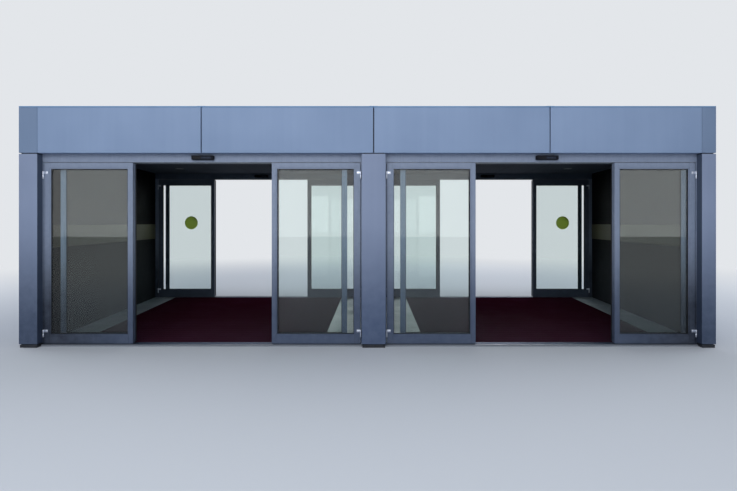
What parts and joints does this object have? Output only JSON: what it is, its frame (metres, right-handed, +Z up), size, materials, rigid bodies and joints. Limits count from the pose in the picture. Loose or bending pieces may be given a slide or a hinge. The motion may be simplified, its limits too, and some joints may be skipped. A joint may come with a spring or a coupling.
{
  "type": "entrance vestibule with automatic sliding doors",
  "caption": "Projecting entrance lobby with side-by-side bays of bi-parting sliding doors in a front and a back screen, on hinged side panels, under a panelled metal fascia.",
  "frame": {"origin": "on the ground, at the middle of the plan", "axes": "+X to the right along the front seen from outside, +Y into the building, +Z up"},
  "size_m": [8.95, 4.2, 2.94],
  "materials": {
    "cladding": "satin",
    "door_frame": "satin",
    "coping": "satin",
    "dark_steel": "matte",
    "lining": "satin",
    "band": "satin",
    "ceiling": "matte",
    "light_rim": "gloss",
    "stone_floor": "honed",
    "mat": "ribbed",
    "steel_trim": "brushed",
    "hinge": "satin",
    "sensor": "gloss",
    "roof_sheet": "matte",
    "door_glass": "clear"
  },
  "bodies": {
    "lobby": {"floor_slab": "stone_floor", "entrance_mats": "mat", "thresholds": "steel_trim", "pier_left": "cladding", "pier_centre": "cladding", "pier_right": "cladding", "pier_posts": "dark_steel", "side_wall_left": "cladding", "side_wall_right": "cladding", "wall_linings": "lining", "wall_bands": "band", "back_post": "door_frame", "fascia_panels": "cladding", "front_beam": "dark_steel", "soffit": "cladding", "ceiling": "ceiling", "downlights": "light_rim", "back_beam": "dark_steel", "back_cladding": "cladding", "roof_deck": "roof_sheet", "coping": "coping", "front_headers": "door_frame", "back_headers": "door_frame", "motion_sensors": "sensor", "door_jambs": "door_frame", "door_hinges": "hinge"},
    "front_panel_1": {"front_panel_1": "door_frame", "front_panel_glass_1": "door_glass"},
    "front_leaf_1": {"front_leaf_1": "door_frame", "front_leaf_glass_1": "door_glass"},
    "front_panel_2": {"front_panel_2": "door_frame", "front_panel_glass_2": "door_glass"},
    "front_leaf_2": {"front_leaf_2": "door_frame", "front_leaf_glass_2": "door_glass"},
    "front_panel_3": {"front_panel_3": "door_frame", "front_panel_glass_3": "door_glass"},
    "front_leaf_3": {"front_leaf_3": "door_frame", "front_leaf_glass_3": "door_glass"},
    "front_panel_4": {"front_panel_4": "door_frame", "front_panel_glass_4": "door_glass"},
    "front_leaf_4": {"front_leaf_4": "door_frame", "front_leaf_glass_4": "door_glass"},
    "back_panel_1": {"back_panel_1": "door_frame", "back_panel_glass_1": "door_glass"},
    "back_leaf_1": {"back_leaf_1": "door_frame", "back_leaf_glass_1": "door_glass"},
    "back_panel_2": {"back_panel_2": "door_frame", "back_panel_glass_2": "door_glass"},
    "back_leaf_2": {"back_leaf_2": "door_frame", "back_leaf_glass_2": "door_glass"},
    "back_panel_3": {"back_panel_3": "door_frame", "back_panel_glass_3": "door_glass"},
    "back_leaf_3": {"back_leaf_3": "door_frame", "back_leaf_glass_3": "door_glass"},
    "back_panel_4": {"back_panel_4": "door_frame", "back_panel_glass_4": "door_glass"},
    "back_leaf_4": {"back_leaf_4": "door_frame", "back_leaf_glass_4": "door_glass"}
  },
  "joints": [
    {"name": "front_panel_1_swing", "type": "hinge", "parent": "lobby", "child": "front_panel_1", "pos_m": [-4.073, -2.012, 1.1], "axis": [0, 0, -1], "range_deg": [0, 90]},
    {"name": "front_leaf_1_slide", "type": "slide", "parent": "front_panel_1", "child": "front_leaf_1", "axis": [1, 0, 0], "range_m": [0, 0.8525]},
    {"name": "front_panel_2_swing", "type": "hinge", "parent": "lobby", "child": "front_panel_2", "pos_m": [-0.16, -2.012, 1.1], "axis": [0, 0, 1], "range_deg": [0, 90]},
    {"name": "front_leaf_2_slide", "type": "slide", "parent": "front_panel_2", "child": "front_leaf_2", "axis": [-1, 0, 0], "range_m": [0, 0.8525]},
    {"name": "front_panel_3_swing", "type": "hinge", "parent": "lobby", "child": "front_panel_3", "pos_m": [0.16, -2.012, 1.1], "axis": [0, 0, -1], "range_deg": [0, 90]},
    {"name": "front_leaf_3_slide", "type": "slide", "parent": "front_panel_3", "child": "front_leaf_3", "axis": [1, 0, 0], "range_m": [0, 0.8525]},
    {"name": "front_panel_4_swing", "type": "hinge", "parent": "lobby", "child": "front_panel_4", "pos_m": [3.973, -2.012, 1.1], "axis": [0, 0, 1], "range_deg": [0, 90]},
    {"name": "front_leaf_4_slide", "type": "slide", "parent": "front_panel_4", "child": "front_leaf_4", "axis": [-1, 0, 0], "range_m": [0, 0.8525]},
    {"name": "back_panel_1_swing", "type": "hinge", "parent": "lobby", "child": "back_panel_1", "pos_m": [-4.335, 1.888, 1.1], "axis": [0, 0, -1], "range_deg": [0, 80]},
    {"name": "back_leaf_1_slide", "type": "slide", "parent": "back_panel_1", "child": "back_leaf_1", "axis": [1, 0, 0], "range_m": [0, 0.93225]},
    {"name": "back_panel_2_swing", "type": "hinge", "parent": "lobby", "child": "back_panel_2", "pos_m": [-0.209, 1.888, 1.1], "axis": [0, 0, 1], "range_deg": [0, 80]},
    {"name": "back_leaf_2_slide", "type": "slide", "parent": "back_panel_2", "child": "back_leaf_2", "axis": [-1, 0, 0], "range_m": [0, 0.93225]},
    {"name": "back_panel_3_swing", "type": "hinge", "parent": "lobby", "child": "back_panel_3", "pos_m": [0.209, 1.888, 1.1], "axis": [0, 0, -1], "range_deg": [0, 80]},
    {"name": "back_leaf_3_slide", "type": "slide", "parent": "back_panel_3", "child": "back_leaf_3", "axis": [1, 0, 0], "range_m": [0, 0.93225]},
    {"name": "back_panel_4_swing", "type": "hinge", "parent": "lobby", "child": "back_panel_4", "pos_m": [4.335, 1.888, 1.1], "axis": [0, 0, 1], "range_deg": [0, 80]},
    {"name": "back_leaf_4_slide", "type": "slide", "parent": "back_panel_4", "child": "back_leaf_4", "axis": [-1, 0, 0], "range_m": [0, 0.93225]}
  ],
  "couplings": [
    {"joint": "front_leaf_2_slide", "follows": "front_leaf_1_slide", "ratio": 1},
    {"joint": "front_leaf_4_slide", "follows": "front_leaf_3_slide", "ratio": 1},
    {"joint": "back_leaf_2_slide", "follows": "back_leaf_1_slide", "ratio": 1},
    {"joint": "back_leaf_4_slide", "follows": "back_leaf_3_slide", "ratio": 1}
  ]
}
